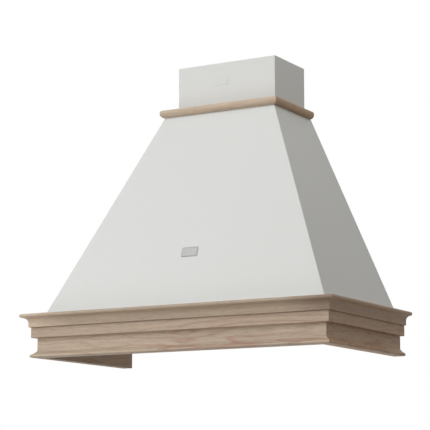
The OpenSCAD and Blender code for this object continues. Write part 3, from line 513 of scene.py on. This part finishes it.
def lathe(name, profile, centre, steps=64):
    """A round form about the upright line through centre, from (radius, height) points; it closes where its
    profile meets the axis."""
    shape = bmesh.new()
    rings = []
    for r, z in profile:
        if r == 0:
            rings.append([shape.verts.new((centre[0], centre[1], z))])
            continue
        turns = [2 * math.pi * i / steps for i in range(steps)]
        rings.append([shape.verts.new((centre[0] + r * math.cos(t), centre[1] + r * math.sin(t), z))
                      for t in turns])
    for low, high in zip(rings, rings[1:]):
        for i in range(steps):
            j = (i + 1) % steps
            corners = [low[i % len(low)], low[j % len(low)], high[j % len(high)], high[i % len(high)]]
            shape.faces.new(list(dict.fromkeys(corners)))
    bmesh.ops.recalc_face_normals(shape, faces=shape.faces)
    mesh = bpy.data.meshes.new(name)
    shape.to_mesh(mesh)
    shape.free()
    return mesh


def solid_boxes(node):
    """The lowest and the highest corner of each separate solid of a node."""
    shape = merged_copy(node)
    boxes = []
    left = set(shape.verts)
    while left:
        front = [left.pop()]
        found = list(front)
        while front:
            for edge in front.pop().link_edges:
                for vert in edge.verts:
                    if vert in left:
                        left.remove(vert)
                        front.append(vert)
                        found.append(vert)
        low = Vector([min(v.co[k] for v in found) for k in range(3)])
        high = Vector([max(v.co[k] for v in found) for k in range(3)])
        boxes.append((low, high))
    shape.free()
    return boxes


# Geometry Nodes for what repeats

def node_tree(name, inputs):
    """An empty geometry tree with named inputs (label, socket kind, value), its input and its output node."""
    tree = bpy.data.node_groups.new(name, "GeometryNodeTree")
    tree.interface.new_socket("Geometry", in_out="INPUT", socket_type="NodeSocketGeometry")
    for label, kind, value in inputs:
        socket = tree.interface.new_socket(label, in_out="INPUT", socket_type="NodeSocket" + kind)
        if value is not None:
            socket.default_value = value
    tree.interface.new_socket("Geometry", in_out="OUTPUT", socket_type="NodeSocketGeometry")
    return tree, add(tree, "NodeGroupInput"), add(tree, "NodeGroupOutput")


def close_tree(tree, source, target, instances):
    """Realize Instances, Set Material and the output."""
    real = add(tree, "GeometryNodeRealizeInstances", {"Geometry": instances})
    painted = add(tree, "GeometryNodeSetMaterial", {"Geometry": real.outputs[0],
                                                    "Material": source.outputs["Material"]})
    tree.links.new(painted.outputs[0], target.inputs[0])


def grown(name, tree, values, material, mesh=None):
    """The plain mesh that a tree makes with the given values."""
    source = bpy.data.objects.new(name, mesh or bpy.data.meshes.new(name))
    bpy.context.scene.collection.objects.link(source)
    modifier = source.modifiers.new("grow", "NODES")
    modifier.node_group = tree
    sockets = {item.name: item.identifier for item in tree.interface.items_tree if item.in_out == "INPUT"}
    for label, value in {**values, "Material": material}.items():
        modifier[sockets[label]] = value
    return baked(source, name)


def vector_of(tree, x, y, z=0.0):
    return add(tree, "ShaderNodeCombineXYZ", {"X": x, "Y": y, "Z": z}).outputs[0]


def expanded_metal_tree():
    """Rows of diamond rings that touch at their corners, as slit and stretched sheet does."""
    tree, source, target = node_tree("expanded_metal", [
        ("Columns", "Int", 20), ("Rows", "Int", 30), ("Pitch X", "Float", 0.012),
        ("Pitch Y", "Float", 0.0065), ("Strand", "Float", 0.001), ("Sheet", "Float", 0.0005),
        ("Tilt", "Float", 0.4), ("Middle", "Vector", None), ("Material", "Material", None)])
    size = []
    for count, pitch in (("Columns", "Pitch X"), ("Rows", "Pitch Y")):
        steps = math_node(tree, "SUBTRACT", source.outputs[count], 1.0)
        size.append(math_node(tree, "MULTIPLY", steps, source.outputs[pitch]))
    grid = add(tree, "GeometryNodeMeshGrid", {"Size X": size[0], "Size Y": size[1],
                                              "Vertices X": source.outputs["Columns"],
                                              "Vertices Y": source.outputs["Rows"]})
    ring = add(tree, "GeometryNodeMeshCircle", {"Vertices": 4, "Radius": 0.5}, fill_type="NONE")
    scale = vector_of(tree, source.outputs["Pitch X"], source.outputs["Pitch Y"], 1.0)
    diamond = add(tree, "GeometryNodeTransform", {"Geometry": ring.outputs[0], "Scale": scale})
    path = add(tree, "GeometryNodeMeshToCurve", {"Mesh": diamond.outputs[0]})
    upright = add(tree, "GeometryNodeSetCurveNormal", {"Curve": path.outputs[0]}, mode="Z_UP")
    bar = add(tree, "GeometryNodeCurvePrimitiveQuadrilateral", {"Width": source.outputs["Sheet"],
                                                                "Height": source.outputs["Strand"]})
    tilt = vector_of(tree, 0.0, 0.0, source.outputs["Tilt"])
    leaning = add(tree, "GeometryNodeTransform", {"Geometry": bar.outputs[0], "Rotation": tilt})
    strand = add(tree, "GeometryNodeCurveToMesh", {"Curve": upright.outputs[0],
                                                   "Profile Curve": leaning.outputs[0]})
    cells = add(tree, "GeometryNodeInstanceOnPoints", {"Points": grid.outputs[0],
                                                       "Instance": strand.outputs[0]})
    moved = add(tree, "GeometryNodeTransform", {"Geometry": cells.outputs[0],
                                                "Translation": source.outputs["Middle"]})
    close_tree(tree, source, target, moved.outputs[0])
    return tree


HEAD_DOME = 0.84    # the dome's radius as a share of the head's
HEAD_RIM = 0.3      # the washer face's height as a share of the head's
SLOT_BAR = 1.1      # the height of the bars that cut the cross, as a share of the head's


def screw_tree():
    """A raised head with a washer face and a cross recess on every point, along the point's aim."""
    tree, source, target = node_tree("screw_heads", [
        ("Head Radius", "Float", 0.004), ("Head Height", "Float", 0.0015), ("Slot Width", "Float", 0.0009),
        ("Slot Length", "Float", 0.004), ("Material", "Material", None)])
    radius, height = source.outputs["Head Radius"], source.outputs["Head Height"]
    ball = add(tree, "GeometryNodeMeshUVSphere", {"Segments": 28, "Rings": 12, "Radius": 1.0})
    inner = math_node(tree, "MULTIPLY", radius, HEAD_DOME)
    dome = add(tree, "GeometryNodeTransform", {"Geometry": ball.outputs[0],
                                               "Scale": vector_of(tree, inner, inner, height)})
    rim_height = math_node(tree, "MULTIPLY", height, HEAD_RIM)
    rim = add(tree, "GeometryNodeMeshCylinder", {"Vertices": 28, "Radius": radius, "Depth": rim_height})
    half_rim = math_node(tree, "MULTIPLY", rim_height, 0.5)
    seated = add(tree, "GeometryNodeTransform", {"Geometry": rim.outputs[0],
                                                 "Translation": vector_of(tree, 0.0, 0.0, half_rim)})
    slots_at = vector_of(tree, 0.0, 0.0, height)
    depth = math_node(tree, "MULTIPLY", height, SLOT_BAR)
    cuts = add(tree, "GeometryNodeMeshBoolean", {"Mesh 1": dome.outputs[0]}, operation="DIFFERENCE")
    for size in ((source.outputs["Slot Length"], source.outputs["Slot Width"]),
                 (source.outputs["Slot Width"], source.outputs["Slot Length"])):
        bar = add(tree, "GeometryNodeMeshCube", {"Size": vector_of(tree, *size, depth)})
        cut = add(tree, "GeometryNodeTransform", {"Geometry": bar.outputs[0], "Translation": slots_at})
        tree.links.new(cut.outputs[0], cuts.inputs["Mesh 2"])
    head = add(tree, "GeometryNodeJoinGeometry")
    tree.links.new(cuts.outputs[0], head.inputs[0])
    tree.links.new(seated.outputs[0], head.inputs[0])
    aim = add(tree, "GeometryNodeInputNamedAttribute", {"Name": "aim"}, data_type="FLOAT_VECTOR")
    turn = add(tree, "FunctionNodeAlignRotationToVector", {"Vector": aim.outputs[0]}, axis="Z")
    placed_heads = add(tree, "GeometryNodeInstanceOnPoints", {"Points": source.outputs["Geometry"],
                                                              "Instance": head.outputs[0],
                                                              "Rotation": turn.outputs[0]})
    close_tree(tree, source, target, placed_heads.outputs[0])
    return tree


def bar_row_tree():
    """Equal bars at equal steps along a line, such as grip ribs."""
    tree, source, target = node_tree("bar_row", [
        ("Count", "Int", 4), ("First", "Vector", None), ("Step", "Vector", None), ("Bar", "Vector", None),
        ("Material", "Material", None)])
    line = add(tree, "GeometryNodeMeshLine", {"Count": source.outputs["Count"],
                                              "Start Location": source.outputs["First"],
                                              "Offset": source.outputs["Step"]})
    bar = add(tree, "GeometryNodeMeshCube", {"Size": source.outputs["Bar"]})
    row = add(tree, "GeometryNodeInstanceOnPoints", {"Points": line.outputs[0], "Instance": bar.outputs[0]})
    close_tree(tree, source, target, row.outputs[0])
    return tree


def bar_ring_tree():
    """Equal bars round a line, such as cooling fins."""
    tree, source, target = node_tree("bar_ring", [
        ("Count", "Int", 24), ("Radius", "Float", 0.05), ("Bar", "Vector", None), ("Turn", "Rotation", None),
        ("Middle", "Vector", None), ("Material", "Material", None)])
    ring = add(tree, "GeometryNodeMeshCircle", {"Vertices": source.outputs["Count"],
                                                "Radius": source.outputs["Radius"]}, fill_type="NONE")
    bar = add(tree, "GeometryNodeMeshCube", {"Size": source.outputs["Bar"]})
    place = add(tree, "GeometryNodeInputPosition")
    outward = add(tree, "FunctionNodeAlignRotationToVector", {"Vector": place.outputs[0]}, axis="X",
                  pivot_axis="Z")
    bars = add(tree, "GeometryNodeInstanceOnPoints", {"Points": ring.outputs[0], "Instance": bar.outputs[0],
                                                      "Rotation": outward.outputs[0]})
    moved = add(tree, "GeometryNodeTransform", {"Geometry": bars.outputs[0],
                                                "Rotation": source.outputs["Turn"],
                                                "Translation": source.outputs["Middle"]})
    close_tree(tree, source, target, moved.outputs[0])
    return tree


EXPANDED_METAL = expanded_metal_tree()
SCREW_HEADS = screw_tree()
BAR_ROW = bar_row_tree()
BAR_RING = bar_ring_tree()


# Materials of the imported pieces

for name, node in nodes.items():
    node.data.materials.clear()
    if name in BOARDS:
        node.data.materials.append(oak(name + "_oak", *BOARDS[name]))
    else:
        node.data.materials.append(MATERIALS[slots[name]])


# Edges: how far each node's edges are eased, and the radius of its folds, in millimetres

WOOD_EDGE = 0.9 * MM
EASED = {
    "canopy_shell": (0.3, 1.8), "lower_chimney": (0.25, 1.6), "upper_chimney": (0.25, 1.6),
    "base_frame": (0.3, 1.4), "back_panel": (0.25, 0), "chimney_bracket": (0.25, 0),
    "suction_panel": (0.3, 0), "lamp_bezel": (0.6, 0), "lamp_body": (0.4, 0), "control_plate": (0.4, 0),
    "control_housing": (0.5, 0), "filter_frame": (0.4, 0), "filter_latch": (0.35, 0),
    "filter_hinge_ears": (0.4, 0), "scroll": (0.5, 0), "impeller_blades": (0.2, 0), "motor_body": (1.0, 0),
    "motor_bracket": (0.4, 0), "inlet_guard": (0.6, 0), "blower_mounts": (0.3, 0), "duct_spigot": (0.4, 0),
    "flap": (0.2, 0), "junction_box": (0.6, 0), "junction_lid": (0.6, 0), "cable_gland": (0.5, 0),
    "badge": (0.22, 0),
}


def ease_of(name):
    """The entry of the longest key that the node's name starts with."""
    keys = [key for key in EASED if name.startswith(key)]
    return EASED[max(keys, key=len)] if keys else None


for name in nodes:
    if name in BOARDS:
        soften(name, WOOD_EDGE)
    elif ease_of(name):
        width, fold_r = ease_of(name)
        soften(name, width * MM, fold_r * MM)


# The plates' sunk middles: flat faces set back from the rim, and the whole of the plain plate on the chimney

RIM = 2.4 * MM
for name, rim, paleness in (("badge_canopy", RIM, 0.66), ("badge_chimney", -RIM, 1.0)):
    mesh = bpy.data.objects[name + "_finish"].data
    low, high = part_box(name)
    sunk = mesh.attributes.new("sunk", "FLOAT", "FACE")
    for face, value in zip(mesh.polygons, sunk.data):
        x, z = face.center.x, face.center.z
        value.value = paleness * (low[0] + rim < x < high[0] - rim and low[2] + rim < z < high[2] - rim)


# Grease filters: two layers of expanded metal in each frame

MESH_PITCH = (12.2 * MM, 6.4 * MM)
STRAND = 1.15 * MM
STRAND_SHEET = 0.55 * MM
STRAND_TILT = math.radians(28)
LAYER_INSET = 0.6 * MM
RIB_COUNT = 4
RIB_STEP = 1.7 * MM
RIB_SHIFT = 0.9 * MM                    # from the middle of the latch towards the wall
RIB_BAR = (19 * MM, 0.7 * MM, 0.5 * MM)

for side in ("left", "right"):
    node = "filter_mesh_" + side
    low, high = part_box(node)
    counts = [round((high[k] - low[k]) / MESH_PITCH[k]) for k in range(2)]
    pitch = [(high[k] - low[k]) / counts[k] for k in range(2)]
    layers = bmesh.new()
    for height, tilt in ((low[2] + LAYER_INSET, STRAND_TILT), (high[2] - LAYER_INSET, math.pi - STRAND_TILT)):
        middle = ((low[0] + high[0]) / 2, (low[1] + high[1]) / 2, height)
        values = {"Columns": counts[0], "Rows": counts[1], "Pitch X": pitch[0], "Pitch Y": pitch[1],
                  "Strand": STRAND, "Sheet": STRAND_SHEET, "Tilt": tilt, "Middle": middle}
        layer = grown(node + "_layer", EXPANDED_METAL, values, MATERIALS["alloy"])
        layers.from_mesh(layer)
        bpy.data.meshes.remove(layer)
    mesh = bpy.data.meshes.new(node + "_finish")
    layers.to_mesh(mesh)
    layers.free()
    finish_for(node, mesh, MATERIALS["alloy"])

    # Grip ribs across the latch's pull
    latch = "filter_latch_" + side
    low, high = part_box(latch)
    first_y = (low[1] + high[1]) / 2 + RIB_SHIFT - RIB_STEP * (RIB_COUNT - 1) / 2
    first = ((low[0] + high[0]) / 2, first_y, low[2])
    mesh = grown(latch + "_ribs", BAR_ROW, {"Count": RIB_COUNT, "First": first, "Step": (0, RIB_STEP, 0),
                                            "Bar": RIB_BAR}, MATERIALS["black_plastic"])
    new_piece(latch + "_ribs", mesh, nodes[latch]["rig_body"], MATERIALS["black_plastic"])


# Lamp lenses: a flange behind the bezel and a face of moulded rings

LENS_RINGS = 6
LENS_EDGE = 0.4         # the plain border round the rings, as a share of a ring
LENS_FLANGE_OVER = 1.8 * MM
LENS_FLANGE_HEIGHT = 2 * MM


def lens_profile(low, high, flange_r):
    """From the middle of the ringed face, up its side and round the flange."""
    face_r = flange_r - LENS_FLANGE_OVER
    seat = high - LENS_FLANGE_HEIGHT
    points = [(0, low + 0.4 * MM)]
    for i in range(1, LENS_RINGS + 1):
        r = face_r * i / (LENS_RINGS + LENS_EDGE)
        points += [(r - 0.9 * MM, low + 0.08 * MM), (r, low + 0.45 * MM)]
    points += [(face_r - 0.3 * MM, low), (face_r, low + 0.3 * MM), (face_r, seat), (flange_r, seat)]
    points += [(flange_r, high), (0, high)]
    return points


for side in ("left", "right"):
    node = "lamp_lens_" + side
    low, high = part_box(node)
    centre = ((low[0] + high[0]) / 2, (low[1] + high[1]) / 2)
    mesh = shaded(lathe(node, lens_profile(low[2], high[2], (high[0] - low[0]) / 2), centre))
    finish_for(node, mesh, MATERIALS["lens_glass"])


# Buttons: a dished cap with a rounded rim, a flange and a stem. The marks are one, two or three dots on the
# speeds, a large ring on the light and a small ring on the stop button.

CAP_R = 6 * MM
STEM_R = 2.5 * MM
CAP_HEIGHT = 8.2 * MM
CAP_FLANGE = 1.6 * MM
SPEED_DOTS = {"button_speed_1": 1, "button_speed_2": 2, "button_speed_3": 3}
MARK_RINGS = {"button_light": 1.7 * MM, "button_stop": 0.9 * MM}
MARK_LEVEL = 0.22 * MM
MARK_WELD = 0.002 * MM
DOT_R = 0.5 * MM
DOT_STEP = 1.7 * MM
RING_HALF = 0.35 * MM


def button_profile(low, high, flange_r):
    """From the middle of the cap's face, round its rim, over the flange and up the stem."""
    flange = low + CAP_HEIGHT - CAP_FLANGE
    dish = [(0, low + 0.45 * MM), (2.2 * MM, low + 0.4 * MM), (4.0 * MM, low + 0.2 * MM),
            (4.7 * MM, low + 0.03 * MM)]
    rim = [(CAP_R - 0.8 * MM, low), (CAP_R - 0.3 * MM, low + 0.12 * MM), (CAP_R, low + 0.5 * MM),
           (CAP_R, flange)]
    top = [(flange_r, flange), (flange_r, flange + CAP_FLANGE), (STEM_R, flange + CAP_FLANGE),
           (STEM_R, high), (0, high)]
    return dish + rim + top


def dot_profile(low, r):
    """A low round stud whose foot is sunk in the cap."""
    foot = low + 0.6 * MM
    return [(0, low), (r * 0.7, low + 0.05 * MM), (r, low + 0.2 * MM), (r, foot), (0, foot)]


def mark_mesh(button, x, y, low):
    """The raised mark of a button, as one mesh."""
    level = low + MARK_LEVEL
    shape = bmesh.new()
    pieces = []
    if button in SPEED_DOTS:
        n = SPEED_DOTS[button]
        for i in range(n):
            dot_x = x + (i - (n - 1) / 2) * DOT_STEP
            pieces.append(lathe("dot", dot_profile(level, DOT_R), (dot_x, y), steps=16))
    else:
        r = MARK_RINGS[button]
        inner, outer = r - RING_HALF, r + RING_HALF
        foot, shoulder = level + 0.6 * MM, level + 0.1 * MM
        ring = [(inner, foot), (inner, shoulder), (r, level), (outer, shoulder), (outer, foot), (inner, foot)]
        pieces.append(lathe("ring", ring, (x, y), steps=32))
    for piece in pieces:
        shape.from_mesh(piece)
        bpy.data.meshes.remove(piece)
    bmesh.ops.remove_doubles(shape, verts=shape.verts, dist=MARK_WELD)
    bmesh.ops.recalc_face_normals(shape, faces=shape.faces)
    mesh = bpy.data.meshes.new(button + "_mark")
    shape.to_mesh(mesh)
    shape.free()
    return mesh


for name in nodes:
    if not name.startswith("button_"):
        continue
    low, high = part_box(name)
    x, y = (low[0] + high[0]) / 2, (low[1] + high[1]) / 2
    mesh = shaded(lathe(name, button_profile(low[2], high[2], (high[0] - low[0]) / 2), (x, y)))
    finish_for(name, mesh, MATERIALS["button_metal"])
    mark = shaded(mark_mesh(name, x, y, low[2]))
    new_piece(name + "_mark", mark, nodes[name]["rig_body"], MATERIALS["black_plastic"])


# Screws

SCREW_R = 4 * MM
SCREW_HEIGHT = 1.5 * MM
SLOT_WIDTH = 0.9 * MM
SLOT_LENGTH = 4.2 * MM
LID_SCREW_SCALE = 0.75
LID_SCREW_INSET = 6 * MM


def screw_points(name, places):
    """A mesh of loose points with the direction that each screw's head faces."""
    mesh = bpy.data.meshes.new(name)
    mesh.from_pydata([place for place, aim in places], [], [])
    attribute = mesh.attributes.new("aim", "FLOAT_VECTOR", "POINT")
    for item, (place, aim) in zip(attribute.data, places):
        item.vector = aim
    return mesh


def screws(name, places, body, scale=1.0):
    """One piece with a screw head at each (place, aim)."""
    values = {"Head Radius": SCREW_R * scale, "Head Height": SCREW_HEIGHT * scale,
              "Slot Width": SLOT_WIDTH * scale, "Slot Length": SLOT_LENGTH * scale}
    mesh = grown(name, SCREW_HEADS, values, MATERIALS["screw_zinc"], screw_points(name, places))
    return new_piece(name, shaded(mesh), body, MATERIALS["screw_zinc"])


panel_places = []
for low, high in solid_boxes("panel_screws"):
    middle = (low + high) / 2
    panel_places.append(((middle.x, middle.y, low.z + SCREW_HEIGHT), (0, 0, -1)))
piece = screws("panel_screw_heads", panel_places, nodes["panel_screws"]["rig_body"])
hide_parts("panel_screws")

cornice_places = []
for low, high in solid_boxes("cornice_screws"):
    middle = (low + high) / 2
    if high.y - low.y > high.x - low.x:
        cornice_places.append(((middle.x, high.y - SCREW_HEIGHT, middle.z), (0, 1, 0)))
    elif middle.x > 0:
        cornice_places.append(((low.x + SCREW_HEIGHT, middle.y, middle.z), (-1, 0, 0)))
    else:
        cornice_places.append(((high.x - SCREW_HEIGHT, middle.y, middle.z), (1, 0, 0)))
piece = screws("cornice_screw_heads", cornice_places, nodes["cornice_screws"]["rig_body"])
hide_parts("cornice_screws")

low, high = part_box("junction_lid")
lid_places = []
for x in (low[0] + LID_SCREW_INSET, high[0] - LID_SCREW_INSET):
    for z in (low[2] + LID_SCREW_INSET, high[2] - LID_SCREW_INSET):
        lid_places.append(((x, low[1], z), (0, -1, 0)))
screws("junction_lid_screws", lid_places, nodes["junction_lid"]["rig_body"], LID_SCREW_SCALE)


# Motor fins

FIN_COUNT = 36
FIN_BAR = (2.4 * MM, 1.6 * MM, 52 * MM)
FIN_SHIFT = 4 * MM                      # from the middle of the motor towards its right end

low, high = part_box("motor_body")
motor_r = (high[2] - low[2]) / 2
middle = ((low[0] + high[0]) / 2 + FIN_SHIFT, (low[1] + high[1]) / 2, (low[2] + high[2]) / 2)
mesh = grown("motor_fins", BAR_RING, {"Count": FIN_COUNT, "Radius": motor_r, "Bar": FIN_BAR,
                                      "Turn": Euler((0, math.pi / 2, 0)), "Middle": middle},
             MATERIALS["motor_casting"])
new_piece("motor_fins", mesh, nodes["motor_body"]["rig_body"], MATERIALS["motor_casting"])


# Stage

def make_camera():
    """The camera of the photograph."""
    data = bpy.data.cameras.new("camera")
    data.sensor_width = SENSOR
    data.lens = CAMERA_LENS
    camera = bpy.data.objects.new("camera", data)
    camera.location = CAMERA_PLACE
    camera.rotation_euler = (math.pi / 2 + CAMERA_PITCH, 0, CAMERA_YAW)
    bpy.context.scene.collection.objects.link(camera)
    bpy.context.scene.camera = camera


def seen_ray(tree):
    """1 on camera, glossy and transmission rays."""
    path = add(tree, "ShaderNodeLightPath")
    glossy = math_node(tree, "MAXIMUM", path.outputs["Is Camera Ray"], path.outputs["Is Glossy Ray"])
    return math_node(tree, "MAXIMUM", glossy, path.outputs["Is Transmission Ray"])


def make_world():
    """White where it is seen, and the ambient light on everything else."""
    world = bpy.data.worlds.new("studio")
    bpy.context.scene.world = world
    world.use_nodes = True
    tree = world.node_tree
    background = tree.nodes["Background"]
    upward = add(tree, "ShaderNodeSeparateXYZ", {0: add(tree, "ShaderNodeTexCoord").outputs["Generated"]})
    level = add(tree, "ShaderNodeMapRange", {"Value": upward.outputs["Z"], "From Min": 0.0,
                                             "From Max": AMBIENT_FULL,
                                             "To Min": AMBIENT * AMBIENT_LOW, "To Max": AMBIENT})
    light = add(tree, "ShaderNodeBackground", {"Color": AMBIENT_COLOR, "Strength": level.outputs[0]})
    background.inputs["Color"].default_value = (1, 1, 1, 1)
    background.inputs["Strength"].default_value = 1.0
    both = add(tree, "ShaderNodeMixShader", {0: seen_ray(tree)})
    tree.links.new(light.outputs[0], both.inputs[1])
    tree.links.new(background.outputs[0], both.inputs[2])
    tree.links.new(both.outputs[0], tree.nodes["World Output"].inputs["Surface"])


def make_light(name, place, size, power, color, target):
    """A round area light aimed at the target."""
    data = bpy.data.lights.new(name, "AREA")
    data.shape = "DISK"
    data.size = size
    data.energy = power
    data.color = color
    lamp = bpy.data.objects.new(name, data)
    lamp.location = place
    lamp.rotation_euler = (Vector(target) - Vector(place)).to_track_quat("-Z", "Y").to_euler()
    bpy.context.scene.collection.objects.link(lamp)


def make_floor():
    """A pale floor well below the hood, which shows nearly white and keeps the hood's shadow."""
    low = cad_box[0][2] - FLOOR_DROP
    mesh = bpy.data.meshes.new("floor")
    corners = [(x * FLOOR_HALF, y * FLOOR_HALF, low) for x, y in ((-1, -1), (1, -1), (1, 1), (-1, 1))]
    mesh.from_pydata(corners, [], [(0, 1, 2, 3)])
    floor = bpy.data.objects.new("floor", mesh)
    bpy.context.scene.collection.objects.link(floor)
    mat, tree, shader = new_material("pale_floor", (0.5, 0.5, 0.49), 0.8)
    cloud = noise(tree, placed(tree), scale=1.5, detail=2.0)
    tree.links.new(mix(tree, cloud, (0.49, 0.49, 0.48), (0.52, 0.52, 0.51)), shader.inputs["Base Color"])
    glow = add(tree, "ShaderNodeEmission", {"Color": (1, 1, 1, 1), "Strength": 1.0})
    share = math_node(tree, "MULTIPLY", seen_ray(tree), FLOOR_GLOW)
    both = add(tree, "ShaderNodeMixShader", {0: share, 1: shader.outputs[0], 2: glow.outputs[0]})
    tree.links.new(both.outputs[0], tree.nodes["Material Output"].inputs["Surface"])
    mesh.materials.append(mat)


make_camera()
make_world()
make_floor()
middle = (cad_box[0] + cad_box[1]) / 2
make_light("key", KEY_PLACE, KEY_SIZE, KEY_POWER, KEY_COLOR, middle)
make_light("fill", FILL_PLACE, FILL_SIZE, FILL_POWER, FILL_COLOR, middle)
make_light("bounce", BOUNCE_PLACE, BOUNCE_SIZE, BOUNCE_POWER, BOUNCE_COLOR, middle)
bpy.context.scene.view_settings.view_transform = "Standard"
